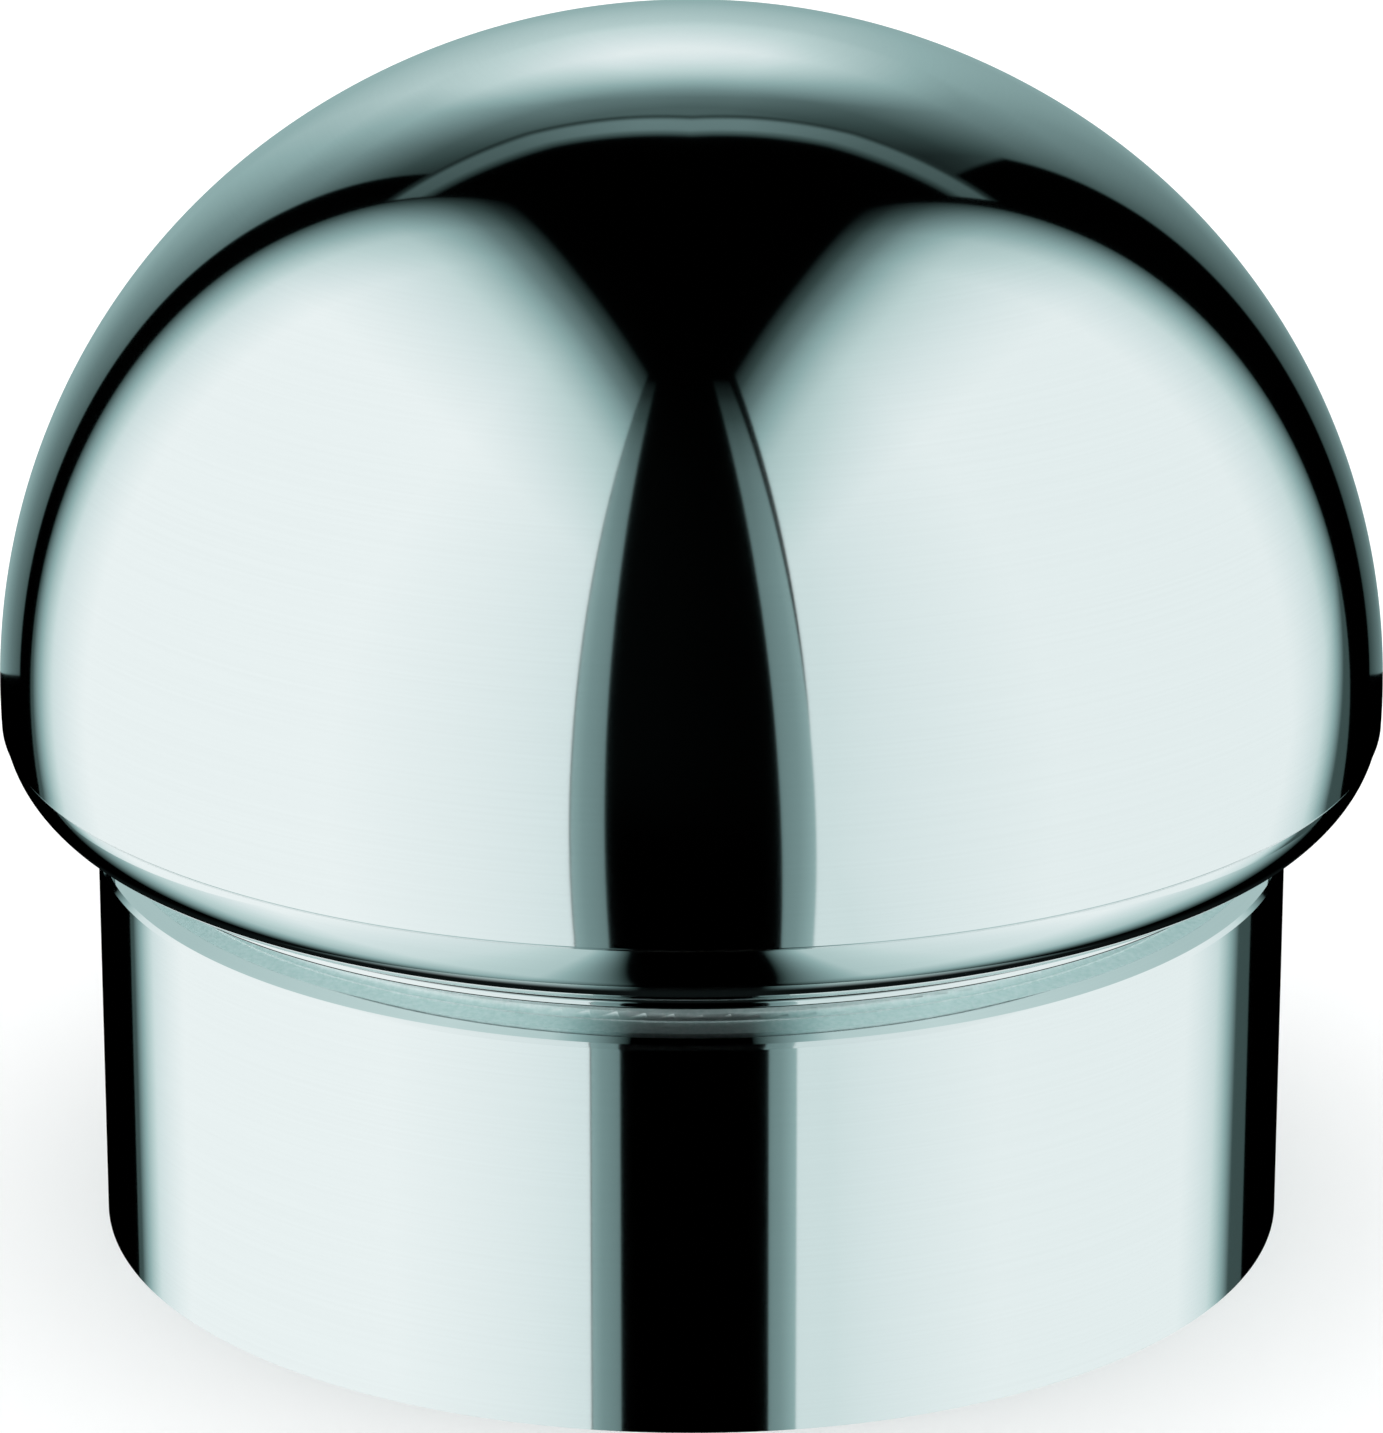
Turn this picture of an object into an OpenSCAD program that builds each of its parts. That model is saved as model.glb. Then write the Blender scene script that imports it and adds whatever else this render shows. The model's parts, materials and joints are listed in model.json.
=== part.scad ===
// Low steel safety bollard: a polished domed head on a short neck and a straight sleeve.
// The head and the sleeve are covers over a steel frame that is bolted to the ground.
// Millimetres, +Z up. The origin is the middle of the sleeve's lower end, on the ground.

/* [Head outside] */
// Largest diameter of the domed head
head_d = 194.5; // [194:0.1:198]
// Height of the largest diameter above the ground
equator_z = 78.6; // [78:0.1:80]
// Height of the crown above the largest diameter
crown_h = 94.7; // [94:0.1:97]
// Radius of the dome's side arc, less than the crown height
side_arc_r = 93.4; // [92:0.1:93.8]
// Thickness of the dome and of its rolled underside
shell_wall = 3; // [2:0.1:3.5]
// Height of the fine joint line between dome and rolled underside
seam_z = 74; // [73:0.1:75]
// Chamfer on the dome's lower edge that makes the joint line
seam_chamfer = 0.45; // [0.2:0.05:0.5]
// Outer radius of the rolled underside's section
roll_r = 12.8; // [12.5:0.1:13]
// Distance of the roll's centre from the axis
roll_x = 84.2; // [84:0.1:84.5]
// Height of the roll's centre
roll_z = 76; // [75.5:0.1:76.5]
// Outer radius of the lip under the roll
lip_r = 84.9; // [84:0.1:85.5]
// Height of the lip's lower face
lip_z = 61.2; // [61:0.1:62]
// Rounding of the lip's lower outer edge
lip_round = 0.4; // [0.2:0.1:0.5]
// Radius of the hollow fillet between the roll and the lip
lip_fillet = 1.5; // [1.2:0.1:1.6]

/* [Head inside] */
// Outer radius of the base disc, where it meets the rolled underside
disc_r = 80; // [79.5:0.1:81]
// Height of the base disc's lower face
disc_z = 64; // [63.5:0.1:64.5]
// Thickness of the base disc
disc_t = 4; // [3:0.5:5]
// Outer radius of the spigot ring
spigot_r = 72.4; // [72:0.1:72.4]
// Wall of the spigot ring
spigot_wall = 3; // [2:0.1:3.5]
// Height of the spigot ring's lower end
spigot_z = 55.5; // [55:0.1:58]
// Inner radius of the socket tube
socket_ir = 46; // [46:0.1:47]
// Wall of the socket tube
socket_wall = 3; // [2:0.1:4]
// Height of each bush in the socket tube
bush_h = 10; // [6:1:14]
// Thickness of the crown plate
crown_t = 6; // [4:0.5:8]
// Number of ribs in the head
rib_count = 4; // [3:1:6]
// Thickness of a rib
rib_t = 5; // [4:0.5:6]
// Radius of the lightening hole in a rib
rib_hole_r = 12; // [8:1:13]
// Height of the lightening hole's middle
rib_hole_z = 98.6; // [96:0.2:100]

/* [Sleeve] */
// Outer diameter of the sleeve tube
sleeve_d = 168.3; // [168:0.1:168.6]
// Wall of the sleeve tube
sleeve_wall = 3; // [2.8:0.1:3]
// Chamfer on the sleeve's upper outer edge
edge_chamfer = 0.5; // [0.3:0.1:1.2]
// Outer radius of the neck collar
neck_r = 77.8; // [77.5:0.1:78]
// Inner radius of the neck collar
neck_ir = 72.8; // [72.8:0.1:73]
// Height of the collar's upper end
neck_top_z = 62.6; // [62.2:0.1:62.8]
// Height of the ledge where it meets the neck
ledge_z = 57.2; // [57:0.1:57.6]
// Fall of the ledge towards the sleeve's edge, in degrees
ledge_fall = 14; // [8:1:16]
// Radius of the fillet between neck and ledge
ledge_fillet = 0.9; // [0.5:0.1:1.2]
// Height of the fixing flange's lower face, on the support ring
flange_z = 50; // [49:0.5:50]
// Thickness of the fixing flange
flange_t = 4; // [3:0.5:5]
// Inner radius of the fixing flange
flange_ir = 50; // [47:0.5:51]

/* [Screws] */
// Distance of the flange screws from the axis
flange_screw_at = 60; // [58:0.5:61]
// Angle of the first flange screw
flange_screw_angle = 25; // [22:1:28]
// Radius of a flange screw's shank
flange_screw_r = 4; // [3:0.5:4]
// Length of a flange screw's shank
flange_screw_l = 16; // [14:1:20]
// Width across the flats of a flange screw's head
flange_screw_af = 13; // [10:0.5:13]
// Height of a flange screw's head
flange_screw_k = 5.3; // [4:0.1:5.5]
// Thickness of a flange washer
washer_t = 1.6; // [1:0.1:1.6]
// Outer radius of a flange washer
washer_r = 8; // [7.8:0.1:8.4]
// Radius of a lock screw
lock_r = 2; // [1.5:0.1:2]
// Length of a lock screw
lock_l = 5; // [4:0.5:5]
// Height of the lock screws
lock_z = 59.1; // [59:0.1:59.3]
// Angle between the rear lock screw and its neighbours
lock_spread = 60; // [45:5:75]

/* [Frame] */
// Radius of the base plate and of the pad under it
plate_r = 79.5; // [78:0.1:79.5]
// Thickness of the base plate
plate_t = 10; // [8:0.5:12]
// Thickness of the rubber pad under the plate
pad_t = 2; // [1:0.5:3]
// Distance of the anchor holes from the axis
anchor_at = 62; // [60:0.5:63]
// Radius of an anchor hole
anchor_r = 7; // [6:0.5:7]
// Radius of the drain hole in the middle of the plate
drain_r = 20; // [10:1:25]
// Radius of the rubber cord's section in the plate's rim
cord_r = 1.6; // [1.2:0.1:1.6]
// Outer diameter of the core post
post_d = 88.9; // [88:0.1:89.2]
// Wall of the core post
post_wall = 5; // [3.6:0.1:6.3]
// Height of the core post's upper end
post_top_z = 132; // [125:1:134]
// Thickness of the post's cap
cap_t = 6; // [5:0.5:8]
// Radius of the vent hole in the cap and in the buffer
vent_r = 8; // [5:1:12]
// Radius of the rubber buffer
buffer_r = 38; // [30:1:42]
// Thickness of the rubber buffer
buffer_t = 6; // [5:0.5:8]
// Thickness of a gusset
gusset_t = 8; // [6:0.5:10]
// Height of a gusset's upright outer foot
gusset_foot = 5; // [2:1:10]
// Outer radius of the support ring
support_r = 72; // [70:0.5:72]
// Thickness of the support ring
support_t = 6; // [5:0.5:8]
// Radius of the tool access notches over the anchors
access_r = 15; // [13:0.5:16]

/* [Hidden] */
$fn = 96;
// Radial gap between faces of covers that slide over the frame
slide_gap = 0.3;
// Radial gap around a screw in its hole
screw_gap = 0.05;
// Radial gap between a washer and its screw
washer_gap = 0.2;
// Gap left for the weld along a rib
weld_gap = 0.2;
// Radial gap around a flange screw in the fixing flange
clearance = 0.5;
// Height of each bush's lower end above the base disc, and of its upper end below the post's top
bush_inset = [2, 4];
// A lock screw's cup point and its hexagon socket, as shares of the screw's radius
point_share = 0.6;
hexagon_share = 0.57;
// Distance of a gusset's outer corners inside the plate's rim and the support ring's rim
gusset_inset = 4;
// Anchor holes, gussets and flange screws all stand at this many equal angles
quarters = 4;
// A short overlap, so that a cutter runs past the face it cuts
past = 1;
// A length beyond every part, for cutting
far = 300;
head_r = head_d / 2;
sleeve_r = sleeve_d / 2;
sleeve_ir = sleeve_r - sleeve_wall;
post_r = post_d / 2;
plate_z = pad_t;
frame_z = plate_z + plate_t;
support_z = flange_z - support_t;
socket_z = disc_z + disc_t;
socket_r = socket_ir + socket_wall;
crown_z = post_top_z + cap_t + buffer_t;
roll_bottom = roll_z - roll_r;
fillet_x = lip_r + lip_fillet;
fillet_z = roll_z - sqrt(pow(roll_r + lip_fillet, 2) - pow(fillet_x - roll_x, 2));
seal_t = disc_z - neck_top_z;
// The dome's section is a side arc and a crown arc that share a tangent where they meet
side_x = head_r - side_arc_r;
crown_arc_r = (side_x * side_x + crown_h * crown_h - side_arc_r * side_arc_r)
    / (2 * (crown_h - side_arc_r));
crown_arc_z = equator_z + crown_h - crown_arc_r;
join_dx = side_x / (crown_arc_r - side_arc_r);
join_dz = (equator_z - crown_arc_z) / (crown_arc_r - side_arc_r);

// Height of the ledge at a distance from the axis
function ledge_at(r) = ledge_z - (r - neck_r) * tan(ledge_fall);

// Ring of rectangular section
module ring(inner, outer, height) {
    difference() {
        cylinder(r = outer, h = height);
        translate([0, 0, -past]) cylinder(r = inner, h = height + 2 * past);
    }
}

// Copies around the axis at equal angles
module around(count, first) {
    for (i = [0:count - 1]) rotate([0, 0, first + i * 360 / count]) children();
}

// Section of the solid dome, set in from the outside by an even distance
module dome_area(inset) {
    intersection() {
        translate([0, crown_arc_z]) circle(r = crown_arc_r - inset);
        polygon([[0, crown_arc_z], [far * join_dx, crown_arc_z + far * join_dz],
                 [0, crown_arc_z + 2 * far]]);
    }
    intersection() {
        translate([side_x, equator_z]) circle(r = side_arc_r - inset);
        polygon([[0, crown_arc_z], [far * join_dx, crown_arc_z + far * join_dz],
                 [far, -far], [0, -far]]);
    }
}

module head_shell() {
    color([0.80, 0.83, 0.84]) rotate_extrude() difference() {
        dome_area(0);
        dome_area(shell_wall);
        translate([-past, -far]) square([far, far + seam_z]);
        translate([head_r - seam_chamfer, seam_z - seam_chamfer])
            polygon([[-seam_chamfer, 0], [far, 0], [far, far]]);
    }
}

module head_rim_ring() {
    color([0.80, 0.83, 0.84]) rotate_extrude() {
        intersection() {
            translate([roll_x, roll_z]) difference() {
                circle(r = roll_r);
                circle(r = roll_r - shell_wall);
            }
            translate([roll_x, seam_z - 2 * roll_r]) square([2 * roll_r, 2 * roll_r]);
        }
        translate([disc_r, roll_bottom]) square([roll_x - disc_r, shell_wall]);
    }
}

// Flat ring with a rounded lower edge, and above it a hollow fillet that runs into the roll
module head_lip_ring() {
    color([0.80, 0.83, 0.84]) rotate_extrude() difference() {
        polygon([[disc_r, lip_z], [lip_r, lip_z], [lip_r, fillet_z], [fillet_x, fillet_z],
                 [roll_x, roll_z], [roll_x, roll_bottom], [disc_r, roll_bottom]]);
        translate([roll_x, roll_z]) circle(r = roll_r);
        translate([fillet_x, fillet_z]) circle(r = lip_fillet);
        translate([lip_r - lip_round, lip_z]) difference() {
            translate([0, -past]) square([lip_round + past, past + lip_round]);
            translate([0, lip_round]) circle(r = lip_round);
        }
    }
}

module head_base_disc() {
    color([0.62, 0.65, 0.67]) translate([0, 0, disc_z]) ring(socket_ir, disc_r, disc_t);
}

module head_spigot() {
    color([0.62, 0.65, 0.67]) translate([0, 0, spigot_z])
        ring(spigot_r - spigot_wall, spigot_r, disc_z - spigot_z);
}

module socket_tube() {
    color([0.62, 0.65, 0.67]) translate([0, 0, socket_z])
        ring(socket_ir, socket_r, crown_z - socket_z);
}

module socket_bushes() {
    lower = socket_z + bush_inset[0];
    upper = post_top_z - bush_inset[1] - bush_h;
    color([0.90, 0.89, 0.84]) for (z = [lower, upper])
        translate([0, 0, z]) ring(post_r + slide_gap, socket_ir, bush_h);
}

module crown_plate() {
    color([0.62, 0.65, 0.67]) translate([0, 0, crown_z]) cylinder(r = socket_r, h = crown_t);
}

// Outline of one rib: a flat web from the socket tube to the inside of the dome
module rib_area() {
    root = socket_r + weld_gap;
    intersection() {
        dome_area(shell_wall + weld_gap);
        translate([root, equator_z]) square([far, far]);
    }
    translate([root, socket_z]) square([roll_x - root, equator_z - socket_z]);
}

module head_ribs() {
    color([0.62, 0.65, 0.67]) around(rib_count, 45) rotate([90, 0, 0])
        translate([0, 0, -rib_t / 2]) linear_extrude(height = rib_t) difference() {
            rib_area();
            translate([(socket_r + roll_x) / 2, rib_hole_z]) circle(r = rib_hole_r);
        }
}

module sleeve() {
    color([0.80, 0.83, 0.84]) rotate_extrude() polygon([
        [sleeve_ir, 0],
        [sleeve_r, 0],
        [sleeve_r, ledge_at(sleeve_r) - edge_chamfer],
        [sleeve_r - edge_chamfer, ledge_at(sleeve_r - edge_chamfer)],
        [sleeve_ir, ledge_at(sleeve_ir)]
    ]);
}

// Places its child along the radius at one of the lock screws' angles
module at_lock(turn) {
    rotate([0, 0, 90 + turn]) translate([0, 0, lock_z]) rotate([0, 90, 0]) children();
}

module shoulder_ring() {
    color([0.66, 0.69, 0.70]) difference() {
        rotate_extrude() {
            polygon([
                [neck_r, flange_z],
                [sleeve_ir, flange_z],
                [sleeve_ir, ledge_at(sleeve_ir)],
                [neck_r, ledge_z]
            ]);
            difference() {
                translate([neck_r, ledge_z - ledge_fillet])
                    square([ledge_fillet, 2 * ledge_fillet]);
                translate([neck_r + ledge_fillet, ledge_z + ledge_fillet])
                    circle(r = ledge_fillet);
            }
        }
        for (turn = [-lock_spread, 0, lock_spread])
            at_lock(turn) translate([0, 0, neck_ir]) cylinder(r = lock_r + slide_gap, h = far);
    }
}

module neck_collar() {
    color([0.66, 0.69, 0.70]) difference() {
        translate([0, 0, flange_z]) ring(neck_ir, neck_r, neck_top_z - flange_z);
        for (turn = [-lock_spread, 0, lock_spread])
            at_lock(turn) translate([0, 0, neck_ir - past])
                cylinder(r = lock_r + screw_gap, h = far);
    }
}

module fixing_flange() {
    color([0.62, 0.65, 0.67]) difference() {
        translate([0, 0, flange_z]) ring(flange_ir, neck_ir, flange_t);
        around(quarters, flange_screw_angle) translate([flange_screw_at, 0, flange_z - past])
            cylinder(r = flange_screw_r + clearance, h = flange_t + 2 * past);
    }
}

module flange_screws() {
    seat = flange_z + flange_t + washer_t;
    color([0.72, 0.73, 0.72]) around(quarters, flange_screw_angle)
        translate([flange_screw_at, 0, seat]) {
            cylinder(r = flange_screw_af / 2 / cos(30), h = flange_screw_k, $fn = 6);
            translate([0, 0, -flange_screw_l])
                cylinder(r = flange_screw_r, h = flange_screw_l + past);
        }
}

module flange_washers() {
    color([0.72, 0.73, 0.72]) around(quarters, flange_screw_angle)
        translate([flange_screw_at, 0, flange_z + flange_t])
            ring(flange_screw_r + washer_gap, washer_r, washer_t);
}

module neck_seal() {
    color([0.10, 0.10, 0.11]) translate([0, 0, neck_top_z])
        ring(neck_ir + slide_gap, neck_r - slide_gap, seal_t);
}

// Grub screw with a cup end towards the axis and a hexagon socket outside
module lock_screw(turn) {
    tip = spigot_r + slide_gap;
    point = (1 - point_share) * lock_r;
    color([0.72, 0.73, 0.72]) at_lock(turn) translate([0, 0, tip]) difference() {
        union() {
            cylinder(r1 = point_share * lock_r, r2 = lock_r, h = point);
            translate([0, 0, point]) cylinder(r = lock_r, h = lock_l - point);
        }
        translate([0, 0, lock_l - lock_r])
            cylinder(r = hexagon_share * lock_r, h = lock_r + past, $fn = 6);
    }
}

module lock_screw_rear() {
    lock_screw(0);
}

module lock_screw_left() {
    lock_screw(lock_spread);
}

module lock_screw_right() {
    lock_screw(-lock_spread);
}

// The four anchor holes and the drain hole, for the plate and for the pad
module ground_holes() {
    around(quarters, 0) translate([anchor_at, 0, -past])
        cylinder(r = anchor_r, h = frame_z + 2 * past);
    translate([0, 0, -past]) cylinder(r = drain_r, h = frame_z + 2 * past);
}

module base_pad() {
    color([0.10, 0.10, 0.11]) difference() {
        cylinder(r = plate_r, h = pad_t);
        ground_holes();
    }
}

module cord_section() {
    translate([sleeve_ir - slide_gap - cord_r, plate_z + plate_t / 2]) circle(r = cord_r);
}

module base_plate() {
    color([0.55, 0.57, 0.58]) difference() {
        translate([0, 0, plate_z]) cylinder(r = plate_r, h = plate_t);
        ground_holes();
        rotate_extrude() cord_section();
    }
}

module plate_rim_seal() {
    color([0.10, 0.10, 0.11]) rotate_extrude() cord_section();
}

module core_post() {
    color([0.55, 0.57, 0.58]) translate([0, 0, frame_z])
        ring(post_r - post_wall, post_r, post_top_z - frame_z);
}

module gussets() {
    color([0.55, 0.57, 0.58]) difference() {
        around(quarters, 45) rotate([90, 0, 0]) translate([0, 0, -gusset_t / 2])
            linear_extrude(height = gusset_t) polygon([
                [post_r - past, frame_z],
                [plate_r - gusset_inset, frame_z],
                [plate_r - gusset_inset, frame_z + gusset_foot],
                [support_r - gusset_inset, support_z],
                [post_r - past, support_z]
            ]);
        cylinder(r = post_r, h = far);
    }
}

module support_ring() {
    color([0.55, 0.57, 0.58]) difference() {
        translate([0, 0, support_z]) ring(post_r, support_r, support_t);
        around(quarters, 0) translate([anchor_at, 0, support_z - past])
            cylinder(r = access_r, h = support_t + 2 * past);
        around(quarters, flange_screw_angle)
            translate([flange_screw_at, 0, support_z - past])
                cylinder(r = flange_screw_r + screw_gap, h = support_t + 2 * past);
    }
}

module post_cap() {
    color([0.55, 0.57, 0.58]) translate([0, 0, post_top_z]) ring(vent_r, post_r, cap_t);
}

module buffer_pad() {
    color([0.10, 0.10, 0.11]) translate([0, 0, post_top_z + cap_t])
        ring(vent_r, buffer_r, buffer_t);
}

base_pad();
base_plate();
plate_rim_seal();
core_post();
gussets();
support_ring();
post_cap();
buffer_pad();
sleeve();
shoulder_ring();
neck_collar();
fixing_flange();
flange_screws();
flange_washers();
neck_seal();
lock_screw_rear();
lock_screw_left();
lock_screw_right();
head_shell();
head_rim_ring();
head_lip_ring();
head_base_disc();
head_spigot();
socket_tube();
socket_bushes();
crown_plate();
head_ribs();
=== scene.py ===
"""Low domed steel safety bollard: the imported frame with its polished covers, finishes, floor and light."""
import json
import math

import bmesh
import bpy
from mathutils import Matrix, Vector

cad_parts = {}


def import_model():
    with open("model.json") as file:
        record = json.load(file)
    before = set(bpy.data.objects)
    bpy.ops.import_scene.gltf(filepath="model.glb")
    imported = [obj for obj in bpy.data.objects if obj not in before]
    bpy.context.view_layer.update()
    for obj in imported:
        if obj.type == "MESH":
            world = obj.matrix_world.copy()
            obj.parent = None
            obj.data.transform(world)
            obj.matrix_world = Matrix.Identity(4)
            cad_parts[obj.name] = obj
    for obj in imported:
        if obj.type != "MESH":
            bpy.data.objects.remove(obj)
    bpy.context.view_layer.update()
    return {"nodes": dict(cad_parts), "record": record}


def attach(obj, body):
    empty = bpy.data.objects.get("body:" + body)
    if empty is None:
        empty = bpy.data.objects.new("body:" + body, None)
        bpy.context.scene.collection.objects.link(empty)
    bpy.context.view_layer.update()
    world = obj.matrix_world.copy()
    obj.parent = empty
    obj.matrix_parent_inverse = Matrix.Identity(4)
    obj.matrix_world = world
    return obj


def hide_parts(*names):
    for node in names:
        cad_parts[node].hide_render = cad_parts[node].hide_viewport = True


MM = 0.001

# Section of the covers, in millimetres, as the CAD model has it.
HEAD_R = 97.25
EQUATOR_Z = 78.6
CROWN_H = 94.7
SIDE_ARC_R = 93.4
WALL = 3.0
SEAM_Z = 74.0
SEAM_CHAMFER = 0.45
ROLL_R = 12.8
ROLL_X = 84.2
ROLL_Z = 76.0
LIP_R = 84.9
LIP_Z = 61.2
LIP_ROUND = 0.4
LIP_FILLET = 1.5
DISC_R = 80.0
SLEEVE_R = 84.15
EDGE_CHAMFER = 0.5
LEDGE_Z = 57.2
LEDGE_FALL = math.radians(14)
NECK_R = 77.8

# Frame and screws inside, in millimetres, as the CAD model has them.
POST_R = 44.45
PLATE_TOP = 12.0
RING_BOTTOM = 44.0
RING_TOP = 50.0
FLANGE_TOP = 54.0
COLLAR_IR = 72.8
SPIGOT_IR = 69.4
DISC_Z = 64.0
GUSSET_HALF = 4.0
GUSSET_END = 75.5
SCREW_AT = 60.0
SCREW_FIRST = 25
SCREW_SEAT = 55.6
SCREW_R = 4.0
SCREW_LENGTH = 16.0
SCREW_FLATS = 13.0
SCREW_HEAD = 5.3
LOCK_R = 2.0
LOCK_TIP = 72.7
LOCK_LENGTH = 5.0
LOCK_Z = 59.1
LOCK_SPREAD = 60

# Screws and welds, in millimetres.
SCREW_PITCH = 1.25
LOCK_PITCH = 0.7
THREAD_DEPTH = 0.45
THREAD_STEPS = 8
WELD_PITCH = 1.8
WELD_RIPPLE = 0.09
WELD_STEPS = 5
WELD_ROOT = 0.25
WELD_GAP = 2.0
GUSSET_WELD = 3.0

# Camera: it looks at a point on the axis from the front, a little above.
CAMERA_ELEVATION = math.radians(19.38)
CAMERA_DISTANCE = 1.044
CAMERA_AIM = Vector((0, 0, 0.0722))
CAMERA_LENS = 185.3
CAMERA_SENSOR = 36
CAMERA_REACH = 100

# Studio: cards placed around this point. Their edges are in units of their own distance.
STUDIO_CENTRE = Vector((0, 0, 0.08))
SIDE_DISTANCE = 3.0
SIDE_AZIMUTH = 70
WORLD_STRENGTH = 1.25
FLOOR_HALF = 12

# Soft side lights: foot, top, the angle they leave open in front, and where each one ends outwards.
LIGHT_FOOT = -6
LIGHT_TOP = 5
FRONT_GAP = 19
LEFT_LIGHT_END = -2.54
RIGHT_LIGHT_END = 2.36
LEFT_LIGHT = {"strength": 0.96, "reach": 1.0, "corner": 0.12}
RIGHT_LIGHT = {"strength": 0.92, "reach": 0.93, "corner": 0.60}
CORNER_FROM = -0.3

# Dark flag in front and the grey returns beside it; below the knee their edges stand upright.
FLAG_DISTANCE = 0.90 * SIDE_DISTANCE
FLAG_LOW = (-0.231, 0.273)
FLAG_HIGH = (-0.26, 0.153)
FLAG_KNEE = -1
FLAG_TOP = 3
RETURN_DISTANCE = 0.95 * SIDE_DISTANCE
LEFT_RETURN_EDGE = -0.338
RIGHT_RETURN_LOW = 0.37
RIGHT_RETURN_HIGH = 0.275
RETURN_UP_SCALE = 1.63
RETURN_SIDE = [(0.24, 0.22), (0.30, 0.28), (0.35, 0.40)]

# Back wall: its card, its brightness by distance aside and by height, and the glow in its middle.
WALL_HALF = 0.88
WALL_FOOT = -0.345
WALL_TOP = 1.7
WALL_MIDDLE = 0.1
WALL_ASIDE = [(0.0, 0.66), (0.2, 0.60), (0.45, 0.29), (0.7, 0.08)]
WALL_UP = [(-0.3, 0.62), (0.0, 0.70), (0.35, 1.0), (0.6, 0.95), (1.0, 0.32), (1.2, 0.18)]
GLOW_HEIGHT = 0.68
GLOW_FADE = [(0.0, 0.30), (0.12, 0.26), (0.28, 0.10), (0.4, 0.0)]

# The wall's left edge leans in from this height up, and its ceiling falls towards both sides.
LEAN_FROM = 0.75
LEAN = 0.3
WALL_LEFT = [(-0.60, 0.0), (-0.58, 1.0)]
WALL_RIGHT = [(0.705, 1.0), (0.72, 0.0)]
ROOF_HALF = 0.42
ROOF_FALL = 0.28
ROOF_EDGE = [(1.29, 1.0), (1.33, 0.0)]
ARCH_UP = [(1.29, 0.0), (1.34, 0.05), (1.38, 0.21), (1.51, 0.20), (1.55, 0.12), (1.63, 0.0)]
ARCH_ASIDE = [(0.15, 1.0), (0.5, 0.6), (0.88, 0.45)]

# Black surroundings beyond the lights.
SURROUND_DISTANCE = 6 * SIDE_DISTANCE
SURROUND_HALF = 1.1
SURROUND_UP = 5
LID_HALF = 8 * SIDE_DISTANCE

# A soft light's cloth is dimmer towards its top, its near side and its far side.
CLOTH_TOP = [(1.2, 1.0), (2.2, 0.75), (3.3, 0.24), (4.0, 0.07), (4.7, 0.0)]
CLOTH_SIDE = [(-1.2, 0.82), (-0.2, 0.97), (1.0, 0.97), (1.6, 0.79), (2.5, 0.08)]

# The ground's brightness by distance from the dark lane, and by how far it lies behind.
GROUND_SIDE = [(0.1, 0.0), (0.25, 0.57), (0.5, 0.73), (1.3, 0.94)]
GROUND_BACK = [(-0.2, 1.0), (0.4, 0.7), (0.9, 0.14), (1.1, 0.0)]
LANE_SPREAD = 0.12
LANE_SHIFT = -0.02
LANE_CORE = 0.02
LOW_DEPTH = 1.5
LOW_REACH = 1.3

# Painted reflection under the overhang: its brightness by degrees from the front, and the glowing ring, seen
# only in mirrors, that paints it, in millimetres.
PAINTED_LIP_REFLECTION = [(6, 0.0), (14, 0.6), (25, 0.68), (60, 0.55), (180, 0.5)]
GLOW_GAP = 0.1
GLOW_DROP = 0.04

# Painted shade: a dark ring over the sleeve's edge, seen only in mirrors, and where it fades out, in
# millimetres.
SHADE_RADII = (84.4, 93.0)
SHADE_FADE = (88.5, 93.0)
SHADE_COLOUR = (0.004, 0.006, 0.006)

# Brightness of a card to its colour: the darker it is, the more sea-green it looks.
COOL_STOPS = [
    (0.0, (0.0, 0.0, 0.0)),
    (0.06, (0.035, 0.062, 0.060)),
    (0.26, (0.165, 0.262, 0.262)),
    (0.43, (0.285, 0.435, 0.433)),
    (0.67, (0.53, 0.68, 0.675)),
    (0.80, (0.70, 0.81, 0.815)),
    (1.0, (0.955, 1.0, 1.0)),
]
BLACK = (0.0, 0.0, 0.0)


# ---------------------------------------------------------------- node helpers

def new_material(name):
    """An empty node material and its Principled shader."""
    material = bpy.data.materials.new(name)
    material.use_nodes = True
    tree = material.node_tree
    shader = tree.nodes["Principled BSDF"]
    return material, tree, shader


def add_node(tree, kind, **settings):
    node = tree.nodes.new(kind)
    for key, value in settings.items():
        setattr(node, key, value)
    return node


def link(tree, source, target):
    tree.links.new(source, target)


def math_node(tree, operation, first, second=None):
    """A Math node; each operand is a socket or a number."""
    node = add_node(tree, "ShaderNodeMath", operation=operation)
    for slot, operand in zip(node.inputs, (first, second)):
        if operand is None:
            continue
        if isinstance(operand, (int, float)):
            slot.default_value = operand
        else:
            link(tree, operand, slot)
    return node.outputs[0]


def times(tree, first, second):
    return math_node(tree, "MULTIPLY", first, second)


def plus(tree, first, second):
    return math_node(tree, "ADD", first, second)


def hypotenuse(tree, first, second):
    squares = plus(tree, times(tree, first, first), times(tree, second, second))
    return math_node(tree, "SQRT", squares)


def round_coordinates(tree, around, along, outward):
    """Coordinates that run around the axis, up it and out from it, each with its own scale."""
    place = add_node(tree, "ShaderNodeTexCoord").outputs["Object"]
    split = add_node(tree, "ShaderNodeSeparateXYZ")
    link(tree, place, split.inputs[0])
    x, y, z = split.outputs
    join = add_node(tree, "ShaderNodeCombineXYZ")
    link(tree, times(tree, math_node(tree, "ARCTAN2", y, x), around), join.inputs[0])
    link(tree, times(tree, z, along), join.inputs[1])
    link(tree, times(tree, hypotenuse(tree, x, y), outward), join.inputs[2])
    return join.outputs[0]


def noise(tree, vector, scale, detail=2.0):
    node = add_node(tree, "ShaderNodeTexNoise")
    node.inputs["Scale"].default_value = scale
    node.inputs["Detail"].default_value = detail
    if vector is not None:
        link(tree, vector, node.inputs["Vector"])
    return node.outputs["Fac"]


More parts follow.
